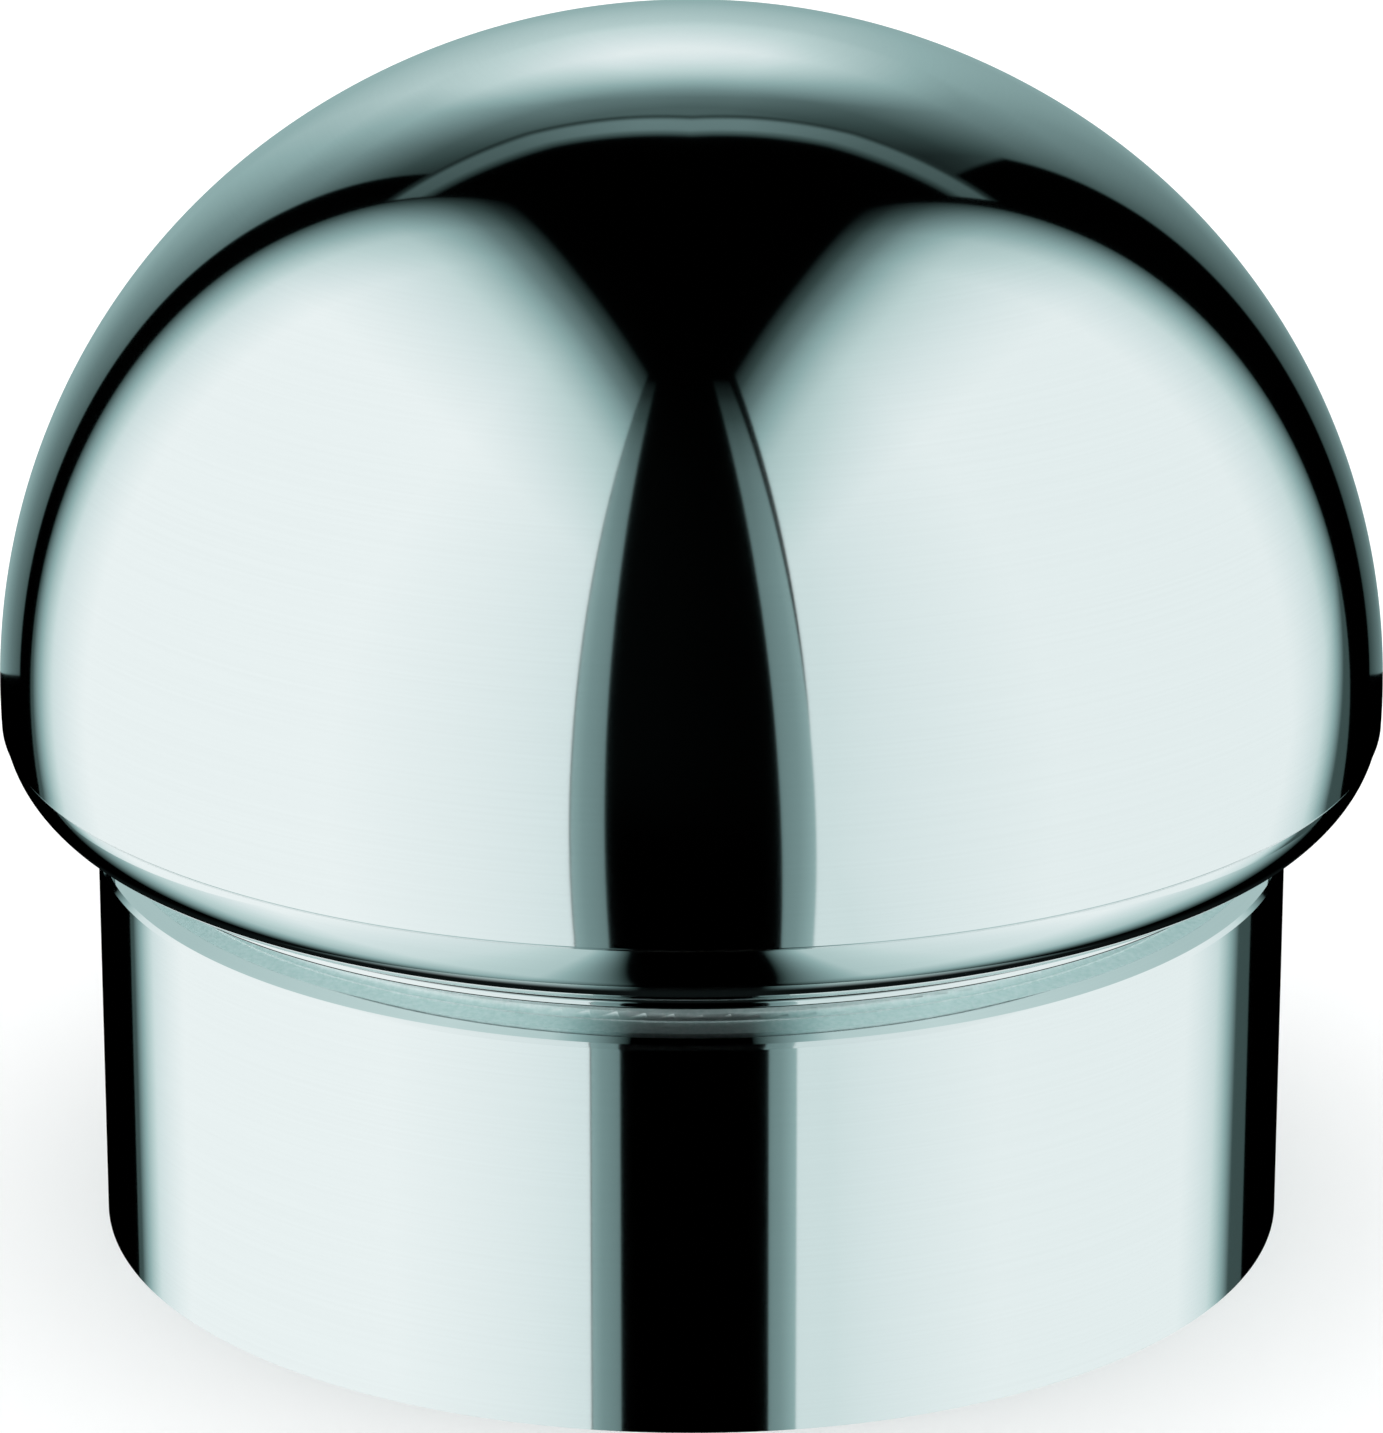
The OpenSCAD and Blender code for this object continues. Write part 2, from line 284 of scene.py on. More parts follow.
def spread(tree, value, low, high):
    """Maps a 0 to 1 value onto low to high."""
    node = add_node(tree, "ShaderNodeMapRange")
    node.inputs["To Min"].default_value = low
    node.inputs["To Max"].default_value = high
    link(tree, value, node.inputs["Value"])
    return node.outputs[0]


def ramp(tree, value, stops):
    """A colour ramp; stops are (position, colour)."""
    node = add_node(tree, "ShaderNodeValToRGB")
    elements = node.color_ramp.elements
    while len(elements) < len(stops):
        elements.new(0.5)
    for element, (position, colour) in zip(elements, stops):
        element.position = position
        element.color = (*colour, 1)
    link(tree, value, node.inputs[0])
    return node.outputs[0]


def bump(tree, shader, height, strength, distance):
    node = add_node(tree, "ShaderNodeBump")
    node.inputs["Strength"].default_value = strength
    node.inputs["Distance"].default_value = distance
    link(tree, height, node.inputs["Height"])
    link(tree, node.outputs[0], shader.inputs["Normal"])


# ---------------------------------------------------------------- finishes

def polished_steel():
    """Mirror polish with the faint rings that the buffing wheel leaves."""
    material, tree, shader = new_material("polished_steel")
    shader.inputs["Metallic"].default_value = 1
    rings = noise(tree, round_coordinates(tree, around=1.5, along=2600, outward=2600), scale=1.0)
    haze = noise(tree, round_coordinates(tree, around=4, along=30, outward=30), scale=1.0, detail=3.0)
    link(tree, ramp(tree, rings, [(0.3, (0.925, 0.935, 0.935)), (0.7, (0.94, 0.95, 0.95))]),
         shader.inputs["Base Color"])
    link(tree, spread(tree, haze, low=0.035, high=0.055), shader.inputs["Roughness"])
    bump(tree, shader, rings, strength=0.02, distance=0.00001)
    return material


def brushed_steel():
    """Satin ledge and neck, with a fine even grain."""
    material, tree, shader = new_material("brushed_steel")
    shader.inputs["Metallic"].default_value = 1
    place = add_node(tree, "ShaderNodeTexCoord").outputs["Object"]
    grain = noise(tree, place, scale=1400.0, detail=3.0)
    link(tree, ramp(tree, grain, [(0.3, (0.80, 0.90, 0.89)), (0.7, (0.95, 1.0, 1.0))]),
         shader.inputs["Base Color"])
    link(tree, spread(tree, grain, low=0.40, high=0.50), shader.inputs["Roughness"])
    bump(tree, shader, grain, strength=0.05, distance=0.0001)
    return material


def plain_steel():
    """Mill finish of the parts inside the covers."""
    material, tree, shader = new_material("plain_steel")
    shader.inputs["Metallic"].default_value = 1
    cloud = noise(tree, None, scale=40.0, detail=5.0)
    grain = noise(tree, round_coordinates(tree, around=6, along=900, outward=900), scale=1.0, detail=3.0)
    link(tree, ramp(tree, cloud, [(0.3, (0.42, 0.43, 0.44)), (0.7, (0.62, 0.63, 0.64))]),
         shader.inputs["Base Color"])
    link(tree, spread(tree, cloud, low=0.32, high=0.50), shader.inputs["Roughness"])
    bump(tree, shader, grain, strength=0.15, distance=0.0001)
    return material


def galvanised_steel():
    """Zinc coat with its frosty spangle."""
    material, tree, shader = new_material("galvanised_steel")
    shader.inputs["Metallic"].default_value = 0.85
    place = add_node(tree, "ShaderNodeTexCoord").outputs["Object"]
    cells = add_node(tree, "ShaderNodeTexVoronoi")
    cells.inputs["Scale"].default_value = 240
    link(tree, place, cells.inputs["Vector"])
    split = add_node(tree, "ShaderNodeSeparateXYZ")
    link(tree, cells.outputs["Color"], split.inputs[0])
    link(tree, ramp(tree, split.outputs[0], [(0.0, (0.52, 0.54, 0.55)), (1.0, (0.64, 0.66, 0.68))]),
         shader.inputs["Base Color"])
    link(tree, spread(tree, split.outputs[1], low=0.42, high=0.56), shader.inputs["Roughness"])
    bump(tree, shader, noise(tree, place, scale=600.0, detail=3.0), strength=0.2, distance=0.0001)
    return material


def rubber():
    """Matt black rubber with a moulded grain."""
    material, tree, shader = new_material("rubber")
    place = add_node(tree, "ShaderNodeTexCoord").outputs["Object"]
    cloud = noise(tree, place, scale=60.0, detail=4.0)
    link(tree, ramp(tree, cloud, [(0.3, (0.012, 0.012, 0.013)), (0.7, (0.030, 0.030, 0.031))]),
         shader.inputs["Base Color"])
    link(tree, spread(tree, cloud, low=0.65, high=0.85), shader.inputs["Roughness"])
    bump(tree, shader, noise(tree, place, scale=2500.0, detail=2.0), strength=0.3, distance=0.0001)
    return material


def zinc_screws():
    """Bright zinc plate on the screws and washers."""
    material, tree, shader = new_material("zinc_screws")
    shader.inputs["Metallic"].default_value = 1
    place = add_node(tree, "ShaderNodeTexCoord").outputs["Object"]
    cloud = noise(tree, place, scale=180.0, detail=4.0)
    link(tree, ramp(tree, cloud, [(0.3, (0.56, 0.58, 0.62)), (0.7, (0.74, 0.74, 0.72))]),
         shader.inputs["Base Color"])
    link(tree, spread(tree, cloud, low=0.22, high=0.36), shader.inputs["Roughness"])
    bump(tree, shader, noise(tree, place, scale=1500.0, detail=2.0), strength=0.1, distance=0.0001)
    return material


def nylon():
    """Natural nylon with faint turning marks."""
    material, tree, shader = new_material("nylon")
    marks = noise(tree, round_coordinates(tree, around=1, along=2500, outward=2500), scale=1.0)
    shader.inputs["Subsurface Weight"].default_value = 0.15
    shader.inputs["Subsurface Radius"].default_value = (0.003, 0.003, 0.002)
    link(tree, ramp(tree, marks, [(0.2, (0.76, 0.74, 0.68)), (0.8, (0.86, 0.84, 0.79))]),
         shader.inputs["Base Color"])
    link(tree, spread(tree, marks, low=0.38, high=0.52), shader.inputs["Roughness"])
    bump(tree, shader, marks, strength=0.15, distance=0.0001)
    return material


def make_finishes():
    """Every finish, under the name of its material slot in the record."""
    makers = (polished_steel, brushed_steel, plain_steel, galvanised_steel, rubber, zinc_screws, nylon)
    return {maker.__name__: maker() for maker in makers}


# ---------------------------------------------------------------- turned pieces

def new_object(name, data):
    """An object of a mesh or camera, put in the scene."""
    piece = bpy.data.objects.new(name, data)
    bpy.context.scene.collection.objects.link(piece)
    return piece


def arc(centre_r, centre_z, radius, start, end, count):
    """Points of an arc in the section, angles in degrees from the outward direction."""
    points = []
    for i in range(count + 1):
        angle = math.radians(start + (end - start) * i / count)
        points.append((centre_r + radius * math.cos(angle), centre_z + radius * math.sin(angle)))
    return points


def ledge_at(r):
    """Height of the sloping ledge at a radius."""
    return LEDGE_Z - (r - NECK_R) * math.tan(LEDGE_FALL)


def turned(name, section, segments=384, sharp=22):
    """A closed section in millimetres, turned around the axis into a smooth mesh."""
    mesh = bpy.data.meshes.new(name)
    work = bmesh.new()
    columns = []
    for r, z in section:
        if r == 0:
            columns.append([work.verts.new((0, 0, z * MM))])
            continue
        column = []
        for i in range(segments):
            angle = 2 * math.pi * i / segments
            column.append(work.verts.new((r * MM * math.cos(angle), r * MM * math.sin(angle), z * MM)))
        columns.append(column)
    for low, high in zip(columns, columns[1:] + columns[:1]):
        if len(low) == 1 and len(high) == 1:
            continue
        for i in range(segments):
            j = (i + 1) % segments
            corners = [low[i % len(low)], low[j % len(low)], high[j % len(high)], high[i % len(high)]]
            work.faces.new(list(dict.fromkeys(corners)))
    bmesh.ops.recalc_face_normals(work, faces=work.faces)
    work.to_mesh(mesh)
    work.free()
    mesh.shade_smooth()
    mesh.set_sharp_from_angle(angle=math.radians(sharp))
    return new_object(name, mesh)


def dome_arcs(inset, low_z):
    """The dome's two arcs, set in by an even distance, from low_z up to the crown."""
    side_x = HEAD_R - SIDE_ARC_R
    crown_r = (side_x ** 2 + CROWN_H ** 2 - SIDE_ARC_R ** 2) / (2 * (CROWN_H - SIDE_ARC_R))
    crown_z = EQUATOR_Z + CROWN_H - crown_r
    join = math.degrees(math.atan2(EQUATOR_Z - crown_z, side_x))
    side_r = SIDE_ARC_R - inset
    start = math.degrees(math.asin((low_z - EQUATOR_Z) / side_r))
    side = arc(side_x, EQUATOR_Z, side_r, start, join, 64)
    crown = arc(0, crown_z, crown_r - inset, join, 90, 48)
    crown[-1] = (0, crown[-1][1])
    return side + crown[1:]


def head_shell_section():
    """Dome shell with a chamfered edge at the seam."""
    outside = dome_arcs(0, SEAM_Z + SEAM_CHAMFER)
    edge = [(outside[0][0] - SEAM_CHAMFER, SEAM_Z)]
    inside = dome_arcs(WALL, SEAM_Z)
    return edge + outside + inside[::-1]


def rim_ring_section():
    """Rolled underside from the seam inwards, a shell of even wall."""
    below_centre = ROLL_Z - SEAM_Z
    start = -math.degrees(math.asin(below_centre / ROLL_R))
    inner_start = -math.degrees(math.asin(below_centre / (ROLL_R - WALL)))
    outside = arc(ROLL_X, ROLL_Z, ROLL_R, start, -90, 48)
    inside = arc(ROLL_X, ROLL_Z, ROLL_R - WALL, inner_start, -90, 24)
    foot = [(DISC_R, ROLL_Z - ROLL_R), (DISC_R, ROLL_Z - ROLL_R + WALL)]
    return outside + foot + inside[::-1]


def lip_ring_section():
    """Flat ring whose hollow fillet meets the roll where the two arcs touch."""
    fillet_x = LIP_R + LIP_FILLET
    fillet_z = ROLL_Z - math.sqrt((ROLL_R + LIP_FILLET) ** 2 - (fillet_x - ROLL_X) ** 2)
    touch = math.degrees(math.atan2(ROLL_Z - fillet_z, ROLL_X - fillet_x))
    roll = arc(ROLL_X, ROLL_Z, ROLL_R, -90, touch - 180, 6)
    fillet = arc(fillet_x, fillet_z, LIP_FILLET, touch, 180, 16)
    corner = arc(LIP_R - LIP_ROUND, LIP_Z + LIP_ROUND, LIP_ROUND, 0, -90, 10)
    return [(DISC_R, ROLL_Z - ROLL_R)] + roll + fillet[1:] + corner + [(DISC_R, LIP_Z)]


def sleeve_section():
    """Straight tube whose upper end follows the ledge, with a chamfer outside."""
    inner = SLEEVE_R - WALL
    edge_r = SLEEVE_R - EDGE_CHAMFER
    return [
        (inner, 0),
        (SLEEVE_R, 0),
        (SLEEVE_R, ledge_at(SLEEVE_R) - EDGE_CHAMFER),
        (edge_r, ledge_at(edge_r)),
        (inner, ledge_at(inner)),
    ]


def build_covers(finishes):
    """The polished covers, turned finely enough to mirror cleanly."""
    covers = (
        ("dome_cover", "head_shell", "domed_head", head_shell_section()),
        ("rim_cover", "head_rim_ring", "domed_head", rim_ring_section()),
        ("lip_cover", "head_lip_ring", "domed_head", lip_ring_section()),
        ("sleeve_tube", "sleeve", "sleeve_cover", sleeve_section()),
    )
    for name, node, body, section in covers:
        piece = turned(name, section)
        piece.data.materials.append(finishes["polished_steel"])
        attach(piece, body)
        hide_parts(node)


# ---------------------------------------------------------------- welds and screws

def finished_piece(name, work, finish, body, sharp=40):
    """Turns a bmesh into a piece that rides on a body."""
    bmesh.ops.recalc_face_normals(work, faces=work.faces)
    mesh = bpy.data.meshes.new(name)
    work.to_mesh(mesh)
    work.free()
    mesh.shade_smooth()
    mesh.set_sharp_from_angle(angle=math.radians(sharp))
    mesh.materials.append(finish)
    piece = new_object(name, mesh)
    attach(piece, body)
    return piece


def bead_section(size, phase):
    """Quarter-round bead in a corner at the origin, as (outward, upward) points.

    phase runs through one turn per ripple that the torch leaves.
    """
    radius = size * (1 - WELD_RIPPLE * (0.5 + 0.5 * math.cos(phase)))
    root = -WELD_ROOT * size
    angles = [math.radians(degrees) for degrees in range(0, 91, 15)]
    return [(radius * math.cos(angle), radius * math.sin(angle)) for angle in angles] + [(root, root)]


def join_rings(work, rings, closed):
    """Skins neighbouring rings of vertices; an open row of rings gets end caps."""
    pairs = list(zip(rings, rings[1:]))
    if closed:
        pairs.append((rings[-1], rings[0]))
    for low, high in pairs:
        for i in range(len(low)):
            j = (i + 1) % len(low)
            work.faces.new((low[i], low[j], high[j], high[i]))
    if not closed:
        work.faces.new(rings[0][::-1])
        work.faces.new(rings[-1])


def weld_ring(name, body, radius, height, size, outward, upward, finish):
    """Round fillet weld in a corner; outward and upward are the sides that the bead lies on."""
    work = bmesh.new()
    ripples = round(2 * math.pi * radius / WELD_PITCH)
    steps = WELD_STEPS * ripples
    rings = []
    for i in range(steps):
        turn = 2 * math.pi * i / steps
        ring = []
        for a, b in bead_section(size, ripples * turn):
            r = (radius + outward * a) * MM
            ring.append(work.verts.new((r * math.cos(turn), r * math.sin(turn), (height + upward * b) * MM)))
        rings.append(ring)
    join_rings(work, rings, True)
    finished_piece(name, work, finish, body)


def weld_line(work, start, end, out, up, size):
    """Straight fillet weld along a corner, added to a bmesh."""
    steps = WELD_STEPS * round((end - start).length / WELD_PITCH)
    rings = []
    for i in range(steps + 1):
        place = start.lerp(end, i / steps)
        section = bead_section(size, 2 * math.pi * i / WELD_STEPS)
        rings.append([work.verts.new((place + a * out + b * up) * MM) for a, b in section])
    join_rings(work, rings, False)


def build_welds(finishes):
    """Fillet welds of the frame, the sleeve's flange and the head's spigot."""
    inner = SLEEVE_R - WALL
    # name, body, radius, height, size, outward, upward, slot
    rings = (
        ("post_foot_weld", "ground_frame", POST_R, PLATE_TOP, 4.0, 1, 1, "galvanised_steel"),
        ("ring_lower_weld", "ground_frame", POST_R, RING_BOTTOM, 3.5, 1, -1, "galvanised_steel"),
        ("ring_upper_weld", "ground_frame", POST_R, RING_TOP, 3.0, 1, 1, "galvanised_steel"),
        ("flange_weld", "sleeve_cover", COLLAR_IR, FLANGE_TOP, 1.2, -1, 1, "plain_steel"),
        ("shoulder_weld", "sleeve_cover", inner, RING_TOP, 2.5, -1, -1, "plain_steel"),
        ("spigot_weld", "domed_head", SPIGOT_IR, DISC_Z, 2.0, -1, -1, "plain_steel"),
    )
    for name, body, radius, height, size, outward, upward, slot in rings:
        weld_ring(name, body, radius, height, size, outward, upward, finishes[slot])
    build_gusset_welds(finishes["galvanised_steel"])


def build_gusset_welds(zinc):
    """Welds on both sides of each gusset, along the plate and up the post."""
    work = bmesh.new()
    up = Vector((0, 0, 1))
    for quarter in range(4):
        turn = math.radians(45 + 90 * quarter)
        out = Vector((math.cos(turn), math.sin(turn), 0))
        side = Vector((-math.sin(turn), math.cos(turn), 0))
        for hand in (-1, 1):
            edge = GUSSET_HALF * hand * side
            near = (POST_R + WELD_GAP) * out + edge + PLATE_TOP * up
            far = GUSSET_END * out + edge + PLATE_TOP * up
            weld_line(work, near, far, hand * side, up, GUSSET_WELD)
            foot = POST_R * out + edge + (PLATE_TOP + WELD_GAP) * up
            head = foot + (RING_BOTTOM - PLATE_TOP - 2 * WELD_GAP) * up
            weld_line(work, foot, head, hand * side, out, GUSSET_WELD)
    finished_piece("gusset_welds", work, zinc, "ground_frame")


def hexagon(flats):
    """Radius of a hexagon's outline at an angle, with a corner at angle 0."""
    def radius(angle):
        return flats / 2 / math.cos(angle % (math.pi / 3) - math.pi / 6)
    return radius


def thread(radius, height, pitch):
    """Radius of a screw thread at an angle, at one height."""
    depth = THREAD_DEPTH * pitch

    def at(angle):
        phase = (height / pitch - angle / (2 * math.pi)) % 1
        return radius - depth * abs(2 * phase - 1)
    return at


def even(radius):
    """The same radius at every angle."""
    return lambda angle: radius


def loft(work, layers, place, segments=72):
    """Adds a solid to a bmesh: rings (height, radius by angle) in millimetres, set by a matrix."""
    rings = []
    for height, radius in layers:
        ring = []
        for i in range(segments):
            turn = 2 * math.pi * i / segments
            point = Vector((radius(turn) * math.cos(turn), radius(turn) * math.sin(turn), height))
            ring.append(work.verts.new((place @ point) * MM))
        rings.append(ring)
    join_rings(work, rings, False)


def threaded(radius, pitch, low, high):
    """Thread layers from low to high."""
    count = round(THREAD_STEPS * (high - low) / pitch)
    heights = [low + (high - low) * i / count for i in range(count + 1)]
    return [(height, thread(radius, height, pitch)) for height in heights]


def flange_screw_layers():
    """Hexagon screw from its tip up: thread, plain neck, washer face and chamfered head."""
    tip_length = 0.8
    tip_chamfer = 0.9
    thread_end = -3.0
    neck_start = -2.6
    neck_r = SCREW_R - 0.05
    thread_r = SCREW_R - 0.02
    face = 0.4
    face_r = 0.475 * SCREW_FLATS
    chamfer = 0.9
    chamfer_spread = 1.75
    chamfer_steps = 5
    dish = 0.25
    outline = hexagon(SCREW_FLATS)
    layers = [(-SCREW_LENGTH, even(SCREW_R - tip_chamfer))]
    layers += threaded(thread_r, SCREW_PITCH, -SCREW_LENGTH + tip_length, thread_end)
    layers += [(neck_start, even(neck_r)), (0, even(neck_r)), (0, even(face_r)), (face, even(face_r))]
    drops = [chamfer * (chamfer_steps - step) / chamfer_steps for step in range(chamfer_steps + 1)]
    for drop in [SCREW_HEAD - face] + drops:
        limit = face_r + chamfer_spread * drop
        layers.append((SCREW_HEAD - drop, lambda angle, limit=limit: min(outline(angle), limit)))
    layers += [(SCREW_HEAD, even(0.7 * face_r)), (SCREW_HEAD - dish, even(0.66 * face_r))]
    return layers


def lock_screw_layers():
    """Grub screw from its cup point outwards, ending in a hexagon socket."""
    cup = 0.5
    point = 0.7
    end_chamfer = 0.4
    socket_corner = 0.57 * LOCK_R
    socket = hexagon(2 * socket_corner * math.cos(math.pi / 6))
    end = LOCK_TIP + LOCK_LENGTH
    layers = [(LOCK_TIP + cup, even(0.3 * LOCK_R)), (LOCK_TIP, even(0.6 * LOCK_R))]
    layers += threaded(LOCK_R, LOCK_PITCH, LOCK_TIP + point, end - end_chamfer)
    layers += [(end, even(0.86 * LOCK_R)), (end, socket), (end - LOCK_R, socket)]
    return layers


def build_screws(finishes):
    """The flange screws as one set, and the three grub screws under the overhang."""
    zinc = finishes["zinc_screws"]
    work = bmesh.new()
    for quarter in range(4):
        turn = Matrix.Rotation(math.radians(SCREW_FIRST + 90 * quarter), 4, "Z")
        loft(work, flange_screw_layers(), turn @ Matrix.Translation((SCREW_AT, 0, SCREW_SEAT)))
    screws = finished_piece("flange_screw_set", work, zinc, "sleeve_cover")
    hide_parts("flange_screws")
    for side, turn in (("rear", 0), ("left", LOCK_SPREAD), ("right", -LOCK_SPREAD)):
        around = Matrix.Rotation(math.radians(90 + turn), 4, "Z")
        lying = Matrix.Translation((0, 0, LOCK_Z)) @ Matrix.Rotation(math.radians(90), 4, "Y")
        work = bmesh.new()
        loft(work, lock_screw_layers(), around @ lying, 48)
        screw = finished_piece("%s_grub_screw" % side, work, zinc, "%s_lock_screw" % side)
        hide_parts("lock_screw_%s" % side)


def finish_cad_nodes(frame, finishes):
    """Gives each CAD node that stays the finish of its material slot."""
    for part in frame["record"]["subparts"]:
        piece = frame["nodes"][part["node"]]
        piece.data.materials.clear()
        piece.data.materials.append(finishes[part["material_slot"]])


# ---------------------------------------------------------------- studio

def glow_material(name, colour_socket_maker):
    """Light-giving material of a card; the maker returns the colour socket or a plain colour."""
    material = bpy.data.materials.new(name)
    material.use_nodes = True
    tree = material.node_tree
    tree.nodes.clear()
    output = add_node(tree, "ShaderNodeOutputMaterial")
    glow = add_node(tree, "ShaderNodeEmission")
    link(tree, glow.outputs[0], output.inputs[0])
    made = colour_socket_maker(tree)
    if isinstance(made, tuple):
        glow.inputs["Color"].default_value = (*made, 1)
    else:
        link(tree, made, glow.inputs["Color"])
    return material


def card(name, material, azimuth, distance, low, high):
    """An upright card square to an azimuth, seen only in mirrors.

    Azimuth 0 is the camera's side and grows to the camera's right. low and high are the card's
    lower and upper edges, each (left, right, height) in units of its distance.
    """
    turn = math.radians(azimuth)
    out = Vector((math.sin(turn), -math.cos(turn), 0))
    across = Vector((math.cos(turn), math.sin(turn), 0))
    corners = [(low[0], low[2]), (low[1], low[2]), (high[1], high[2]), (high[0], high[2])]
    places = [STUDIO_CENTRE + distance * (out + across * side + Vector((0, 0, up)))
              for side, up in corners]
    only_in_mirrors(four_corners(name, places, corners, material))


def four_corners(name, places, corners, material):
    """A flat card through four places, with its own coordinates at each."""
    mesh = bpy.data.meshes.new(name)
    mesh.from_pydata(places, [], [(0, 1, 2, 3)])
    layer = mesh.uv_layers.new(name="card")
    for loop, corner in zip(layer.data, corners):
        loop.uv = corner
    mesh.materials.append(material)
    return new_object(name, mesh)


def only_in_mirrors(piece):
    """Hides a studio card from everything but glossy reflections."""
    piece.visible_camera = False
    piece.visible_diffuse = False
    piece.visible_shadow = False
    piece.visible_transmission = False


def card_axes(tree):
    """The card's own coordinates, across and up, in units of its distance."""
    split = add_node(tree, "ShaderNodeSeparateXYZ")
    link(tree, add_node(tree, "ShaderNodeTexCoord").outputs["UV"], split.inputs[0])
    return split.outputs[0], split.outputs[1]


def curve(tree, value, points):
    """A curve through (input, output) points, flat beyond its ends; two points are eased."""
    low, high = points[0][0], points[-1][0]
    place = add_node(tree, "ShaderNodeMapRange")
    place.inputs["From Min"].default_value = low
    place.inputs["From Max"].default_value = high
    link(tree, value, place.inputs["Value"])
    stops = [((x - low) / (high - low), (y, y, y)) for x, y in points]
    node = ramp(tree, place.outputs[0], stops).node
    node.color_ramp.interpolation = "EASE" if len(points) == 2 else "LINEAR"
    return node.outputs[0]


def softbox_colour(side, strength, reach, corner):
    """White cloth of a side light; side is +1 right, -1 left, reach scales its width.

    corner is how strongly the far edge draws in below the middle.
    """
    def make(tree):
        across, up = card_axes(tree)
        below = math_node(tree, "MAXIMUM", math_node(tree, "SUBTRACT", CORNER_FROM, up), 0.0)
        draw_in = plus(tree, times(tree, below, corner), 1.0)
        away = times(tree, times(tree, across, side / reach), draw_in)
        light = times(tree, curve(tree, up, CLOTH_TOP), curve(tree, away, CLOTH_SIDE))
        return ramp(tree, times(tree, light, strength), COOL_STOPS)
    return make


def return_colour(side):
    """Grey return of a side light beside the front flag, a little brighter towards the light."""
    def make(tree):
        across, up = card_axes(tree)
        top = curve(tree, times(tree, up, RETURN_UP_SCALE), CLOTH_TOP)
        light = times(tree, top, curve(tree, times(tree, across, side), RETURN_SIDE))
        return ramp(tree, light, COOL_STOPS)
    return make


def wall_light(tree, across, up):
    """The wall itself: brightest near its middle, with a glow."""
    aside = math_node(tree, "ABSOLUTE", math_node(tree, "SUBTRACT", across, WALL_MIDDLE))
    spread_out = times(tree, curve(tree, aside, WALL_ASIDE), curve(tree, up, WALL_UP))
    off = hypotenuse(tree, across, math_node(tree, "SUBTRACT", up, GLOW_HEIGHT))
    return plus(tree, spread_out, curve(tree, off, GLOW_FADE))


def wall_outline(tree, across, up):
    """1 inside the wall's left and right edges; the left one leans in."""
    above = math_node(tree, "MAXIMUM", math_node(tree, "SUBTRACT", up, LEAN_FROM), 0.0)
    left = curve(tree, plus(tree, across, times(tree, above, LEAN)), WALL_LEFT)
    return times(tree, left, curve(tree, across, WALL_RIGHT))


def back_wall_colour(tree):
    """Grey wall with a glow, and the thin bright edge of the ceiling over it."""
    across, up = card_axes(tree)
    aside = math_node(tree, "ABSOLUTE", across)
    fall = times(tree, math_node(tree, "MINIMUM", aside, ROOF_HALF), ROOF_FALL)
    roof = plus(tree, up, fall)
    below = times(tree, curve(tree, roof, ROOF_EDGE), wall_outline(tree, across, up))
    wall = times(tree, wall_light(tree, across, up), below)
    arch = times(tree, curve(tree, roof, ARCH_UP), curve(tree, aside, ARCH_ASIDE))
    return ramp(tree, plus(tree, wall, arch), COOL_STOPS)


def build_side_lights():
    near = math.tan(math.radians(SIDE_AZIMUTH - FRONT_GAP))
    left_cloth = glow_material("left_cloth", softbox_colour(-1, **LEFT_LIGHT))
    right_cloth = glow_material("right_cloth", softbox_colour(1, **RIGHT_LIGHT))
    left = (LEFT_LIGHT_END, near)
    right = (-near, RIGHT_LIGHT_END)
    card("left_softbox", left_cloth, -SIDE_AZIMUTH, SIDE_DISTANCE, (*left, LIGHT_FOOT), (*left, LIGHT_TOP))
    card("right_softbox", right_cloth, SIDE_AZIMUTH, SIDE_DISTANCE, (*right, LIGHT_FOOT), (*right, LIGHT_TOP))


def build_flag():
    """Dark flag in front with a grey return on each side, each in two heights where its edge bends."""
    black = glow_material("flag_black", lambda tree: BLACK)
    card("front_flag", black, 0, FLAG_DISTANCE, (*FLAG_LOW, FLAG_KNEE), (*FLAG_HIGH, FLAG_TOP))
    card("front_flag_foot", black, 0, FLAG_DISTANCE, (*FLAG_LOW, LIGHT_FOOT), (*FLAG_LOW, FLAG_KNEE))
    left = (LEFT_RETURN_EDGE, 0)
    low = (0, RIGHT_RETURN_LOW)
    high = (0, RIGHT_RETURN_HIGH)
    left_grey = glow_material("left_return", return_colour(-1))
    right_grey = glow_material("right_return", return_colour(1))
    card("left_strip", left_grey, 0, RETURN_DISTANCE, (*left, LIGHT_FOOT), (*left, FLAG_TOP))
    card("right_strip", right_grey, 0, RETURN_DISTANCE, (*low, FLAG_KNEE), (*high, FLAG_TOP))
    card("right_strip_foot", right_grey, 0, RETURN_DISTANCE, (*low, LIGHT_FOOT), (*low, FLAG_KNEE))


def build_back_wall():
    wide = (-WALL_HALF, WALL_HALF)
    back = glow_material("back_wall", back_wall_colour)
    card("back_wall", back, 180, SIDE_DISTANCE, (*wide, WALL_FOOT), (*wide, WALL_TOP))


def build_surround():
    """Black cards all around, above and below, behind every light."""
    surround = glow_material("surround_black", lambda tree: BLACK)
    wide = (-SURROUND_HALF, SURROUND_HALF)
    for azimuth in (0, 90, 180, 270):
        card("surround_%d" % azimuth, surround, azimuth, SURROUND_DISTANCE,
             (*wide, -SURROUND_UP), (*wide, SURROUND_UP))
    build_lid("ceiling", surround, SURROUND_UP * SURROUND_DISTANCE)
    build_lid("underworld", surround, -SURROUND_UP * SURROUND_DISTANCE)


def build_studio():
    """Cards that the polished steel mirrors."""
    build_side_lights()
    build_flag()
    build_back_wall()
    build_surround()
    build_low_field()
    build_shade_ring()
    build_painted_lip_reflection()


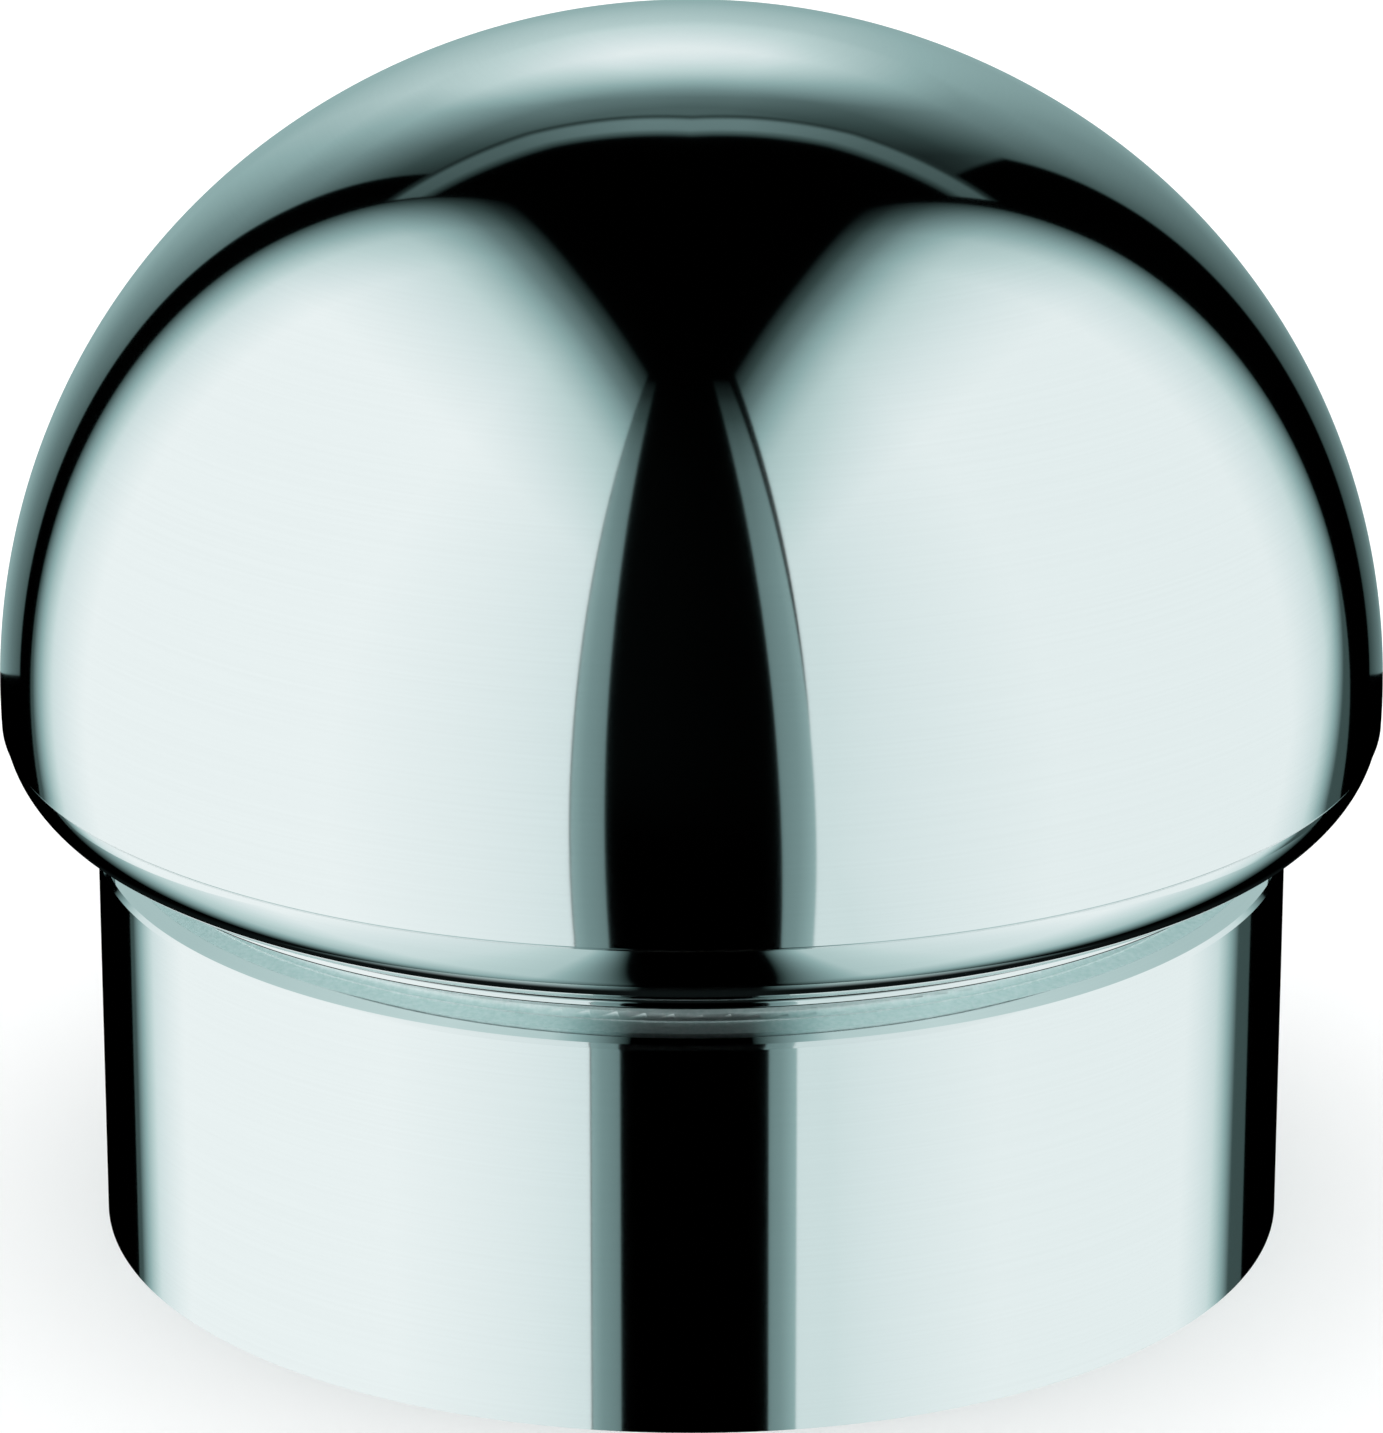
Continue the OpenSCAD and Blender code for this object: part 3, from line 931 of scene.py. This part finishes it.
def low_field_colour(tree):
    """The studio below the object: a dark lane to the front, brighter ground aside, dark behind."""
    across, back = card_axes(tree)
    lane = times(tree, math_node(tree, "MINIMUM", back, 0.0), LANE_SPREAD)
    aside = math_node(tree, "ABSOLUTE", plus(tree, across, LANE_SHIFT))
    open_ground = curve(tree, plus(tree, aside, lane), GROUND_SIDE)
    turn = math_node(tree, "DIVIDE", back, math_node(tree, "MAXIMUM", aside, LANE_CORE))
    return ramp(tree, times(tree, open_ground, curve(tree, turn, GROUND_BACK)), COOL_STOPS)


def build_low_field():
    """Level card below the object; its coordinates are in units of its depth."""
    height = STUDIO_CENTRE.z - LOW_DEPTH
    corners = [(LOW_REACH * x, LOW_REACH * y) for x, y in ((-1, -1), (1, -1), (1, 1), (-1, 1))]
    places = [(LOW_DEPTH * x, LOW_DEPTH * y, height) for x, y in corners]
    only_in_mirrors(four_corners("low_field", places, corners, glow_material("low_field", low_field_colour)))


def flat_ring(name, inner, outer, height, count=256):
    """Level ring in millimetres, seen only in mirrors.

    Its UV runs with the azimuth from the camera's side, in half turns.
    """
    mesh = bpy.data.meshes.new(name)
    work = bmesh.new()
    layer = work.loops.layers.uv.new("card")
    rings = []
    for radius in (inner * MM, outer * MM):
        ring = []
        for i in range(count + 1):
            turn = -math.pi + 2 * math.pi * i / count
            ring.append(work.verts.new((radius * math.sin(turn), -radius * math.cos(turn), height * MM)))
        rings.append(ring)
    for i in range(count):
        face = work.faces.new((rings[0][i], rings[0][i + 1], rings[1][i + 1], rings[1][i]))
        for loop, step in zip(face.loops, (i, i + 1, i + 1, i)):
            loop[layer].uv = (2 * step / count - 1, 0)
    work.to_mesh(mesh)
    work.free()
    ring = new_object(name, mesh)
    only_in_mirrors(ring)
    return ring


def build_painted_lip_reflection():
    """Painted reflection: a glowing ring under the lip, seen only in mirrors, that gives the neck and the
    ledge light at the sides and dark in front.
    """
    def make(tree):
        around, _ = card_axes(tree)
        degrees = times(tree, math_node(tree, "ABSOLUTE", around), 180.0)
        return ramp(tree, curve(tree, degrees, PAINTED_LIP_REFLECTION), COOL_STOPS)
    ring = flat_ring("painted_lip_reflection", NECK_R + GLOW_GAP, LIP_R - LIP_ROUND, LIP_Z - GLOW_DROP)
    ring.data.materials.append(glow_material("painted_lip_reflection", make))


def build_shade_ring():
    """Painted shade: a dark ring just over the sleeve's edge, seen only in mirrors, which the underside of
    the roll mirrors.
    """
    ring = flat_ring("shade_ring", *SHADE_RADII, ledge_at(SLEEVE_R) - EDGE_CHAMFER)
    material = glow_material("shade_black", lambda tree: SHADE_COLOUR)
    tree = material.node_tree
    surface = tree.nodes["Material Output"].inputs[0]
    glow = surface.links[0].from_socket
    split = add_node(tree, "ShaderNodeSeparateXYZ")
    link(tree, add_node(tree, "ShaderNodeTexCoord").outputs["Object"], split.inputs[0])
    radius = hypotenuse(tree, split.outputs[0], split.outputs[1])
    cover = curve(tree, radius, [(SHADE_FADE[0] * MM, 1.0), (SHADE_FADE[1] * MM, 0.0)])
    mix = add_node(tree, "ShaderNodeMixShader")
    link(tree, cover, mix.inputs[0])
    link(tree, add_node(tree, "ShaderNodeBsdfTransparent").outputs[0], mix.inputs[1])
    link(tree, glow, mix.inputs[2])
    link(tree, mix.outputs[0], surface)
    ring.data.materials.append(material)


def level_square(name, half, height, material):
    mesh = bpy.data.meshes.new(name)
    places = [(-half, -half, height), (half, -half, height), (half, half, height), (-half, half, height)]
    mesh.from_pydata(places, [], [(0, 1, 2, 3)])
    mesh.materials.append(material)
    return new_object(name, mesh)


def build_lid(name, material, height):
    """A level black card that closes the studio above or below."""
    only_in_mirrors(level_square(name, LID_HALF, STUDIO_CENTRE.z + height, material))


def build_floor():
    """Plain pale floor."""
    material, tree, shader = new_material("floor_white")
    place = add_node(tree, "ShaderNodeTexCoord").outputs["Object"]
    cloud = noise(tree, place, scale=3.0)
    link(tree, ramp(tree, cloud, [(0.3, (0.975, 0.975, 0.975)), (0.7, (0.985, 0.985, 0.985))]),
         shader.inputs["Base Color"])
    shader.inputs["Roughness"].default_value = 0.9
    shader.inputs["Specular IOR Level"].default_value = 0.0
    floor = level_square("floor", FLOOR_HALF, 0, material)
    floor.visible_glossy = False


def build_light():
    """Even white surroundings for everything that isn't a mirror."""
    world = bpy.data.worlds.new("studio")
    world.use_nodes = True
    background = world.node_tree.nodes["Background"]
    background.inputs["Color"].default_value = (1, 1, 1, 1)
    background.inputs["Strength"].default_value = WORLD_STRENGTH
    bpy.context.scene.world = world
    bpy.context.scene.view_settings.view_transform = "Standard"


def build_camera():
    camera = bpy.data.cameras.new("camera")
    camera.lens = CAMERA_LENS
    camera.sensor_width = CAMERA_SENSOR
    camera.clip_end = CAMERA_REACH
    place = new_object("camera", camera)
    back = Vector((0, -math.cos(CAMERA_ELEVATION), math.sin(CAMERA_ELEVATION)))
    place.location = CAMERA_AIM + CAMERA_DISTANCE * back
    place.rotation_euler = (math.pi / 2 - CAMERA_ELEVATION, 0, 0)
    bpy.context.scene.camera = place


def main():
    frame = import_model()
    build_camera()
    finishes = make_finishes()
    finish_cad_nodes(frame, finishes)
    build_covers(finishes)
    build_welds(finishes)
    build_screws(finishes)
    build_studio()
    build_floor()
    build_light()


main()
